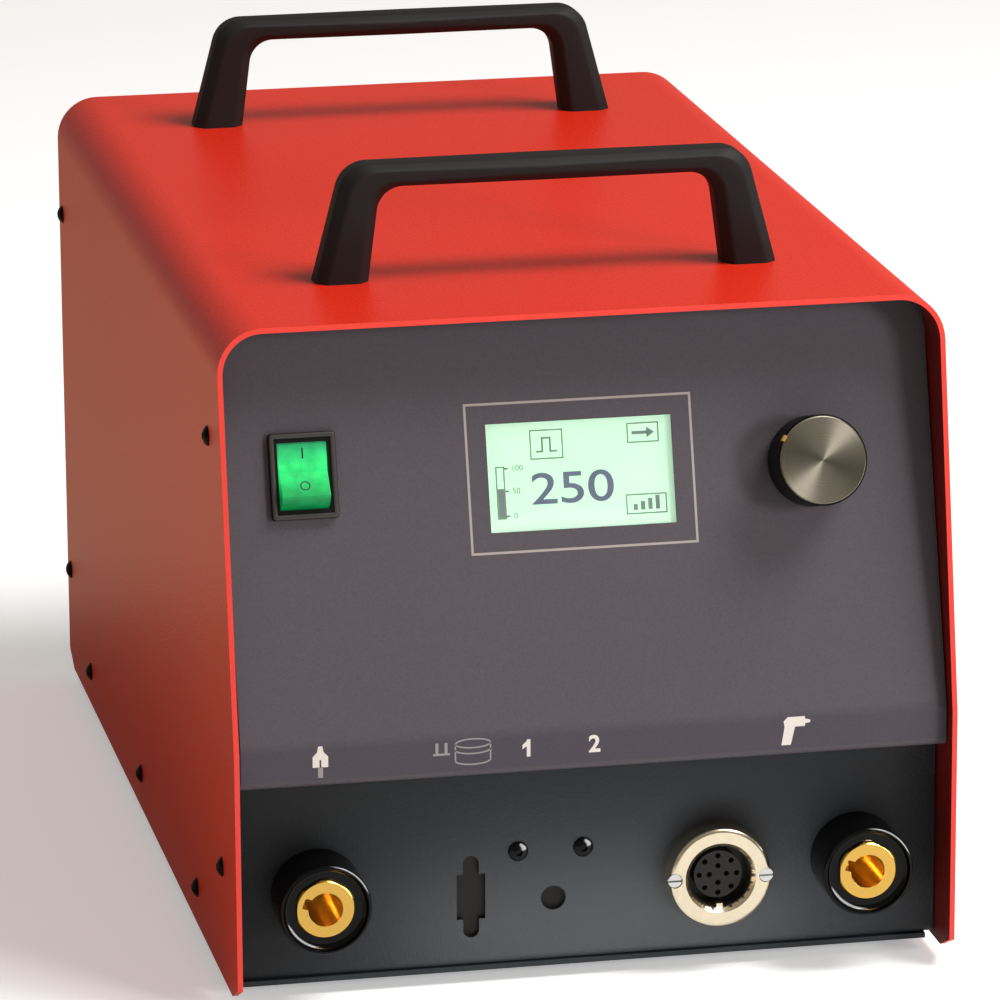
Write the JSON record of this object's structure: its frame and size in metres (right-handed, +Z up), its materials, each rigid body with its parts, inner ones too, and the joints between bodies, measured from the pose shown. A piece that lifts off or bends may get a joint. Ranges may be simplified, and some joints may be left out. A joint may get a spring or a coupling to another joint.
{
  "type": "stud welder",
  "caption": "Capacitor-discharge stud welding power unit: red sheet-metal case, sloped console with display and knob, welding and control sockets, bridge handles.",
  "frame": {"origin": "under the middle of the case, on the floor that the rubber feet stand on", "axes": "+Z up, +Y to the rear so the front faces -Y, +X to the right as seen from the front"},
  "size_m": [0.277, 0.456, 0.2996],
  "materials": {
    "red_powder_coat": "semi-gloss powder coat",
    "grey_powder_coat": "fine-textured powder coat",
    "printed_foil": "matt printed foil",
    "black_plastic": "moulded, fine grain",
    "gloss_black_plastic": "glossy moulding",
    "rubber": "matt",
    "green_plastic": "clear-tinted, lit",
    "clear_window": "clear",
    "display_body": "display surface",
    "circuit_board": "lacquered",
    "zinc_steel": "zinc plated",
    "black_steel": "blackened",
    "brass": "turned",
    "nickel_shell": "matt nickel plated",
    "spun_aluminium": "spun, anodised",
    "aluminium": "extruded",
    "copper": "bare copper bar",
    "can_sleeve": "sleeved can",
    "winding": "taped winding on an iron core"
  },
  "bodies": {
    "root": {"cover": "red_powder_coat", "base_tray": "grey_powder_coat", "lower_panel": "grey_powder_coat", "console_panel": "grey_powder_coat", "console_foil": "printed_foil", "rear_panel": "grey_powder_coat", "front_handle": "black_plastic", "rear_handle": "black_plastic", "handle_screws": "zinc_steel", "cover_screws": "black_steel", "rubber_feet": "rubber", "foot_screws": "zinc_steel", "switch_frame": "black_plastic", "switch_terminals": "brass", "display_window": "clear_window", "display_module": "display_body", "control_board": "circuit_board", "board_spacers": "brass", "board_nuts": "zinc_steel", "encoder_body": "zinc_steel", "encoder_nut": "zinc_steel", "earth_socket_housing": "gloss_black_plastic", "earth_socket_contact": "brass", "earth_socket_nut": "black_plastic", "gun_socket_housing": "gloss_black_plastic", "gun_socket_contact": "brass", "gun_socket_nut": "black_plastic", "stud_nuts": "zinc_steel", "control_socket_shell": "nickel_shell", "control_socket_insert": "black_plastic", "control_socket_contacts": "brass", "control_socket_screws": "zinc_steel", "blanking_plate": "zinc_steel", "blanking_screws": "black_steel", "fan_frame": "black_plastic", "fan_guard": "zinc_steel", "fan_screws": "black_steel", "mains_inlet": "black_plastic", "inlet_pins": "zinc_steel", "inlet_screws": "zinc_steel", "capacitor_left": "can_sleeve", "capacitor_centre": "can_sleeve", "capacitor_right": "can_sleeve", "capacitor_clips": "zinc_steel", "terminal_screws": "zinc_steel", "negative_busbar": "copper", "positive_busbar": "copper", "gun_strap": "copper", "heatsink": "aluminium", "thyristor": "black_plastic", "toroid": "winding", "toroid_clamp": "zinc_steel", "charging_board": "circuit_board"},
    "rocker": {"switch_rocker": "green_plastic"},
    "plunger": {"encoder_plunger": "black_plastic"},
    "knob": {"encoder_shaft": "aluminium", "control_knob": "black_plastic", "knob_cap": "spun_aluminium"},
    "rotor": {"fan_rotor": "black_plastic"},
    "drawer": {"fuse_drawer": "black_plastic"}
  },
  "joints": [
    {"name": "switch_tilt", "type": "hinge", "parent": "root", "child": "rocker", "pos_m": [-0.104, -0.19105, 0.19603], "axis": [1, 0, 0], "range_deg": [0, 28]},
    {"name": "knob_push", "type": "slide", "parent": "root", "child": "plunger", "axis": [0, 0.9627, -0.2706], "range_m": [0, 0.0006], "stiffness_N_per_m": 3000, "springref_m": -0.0004},
    {"name": "knob_turn", "type": "hinge", "parent": "plunger", "child": "knob", "pos_m": [0.0873, -0.19586, 0.19188], "axis": [0, -0.9627, 0.2706], "continuous": true},
    {"name": "fan_spin", "type": "hinge", "parent": "root", "child": "rotor", "pos_m": [0.055, 0.193, 0.17], "axis": [0, 1, 0], "continuous": true},
    {"name": "fuse_drawer_slide", "type": "slide", "parent": "root", "child": "drawer", "axis": [0, 1, 0], "range_m": [0, 0.016]}
  ]
}
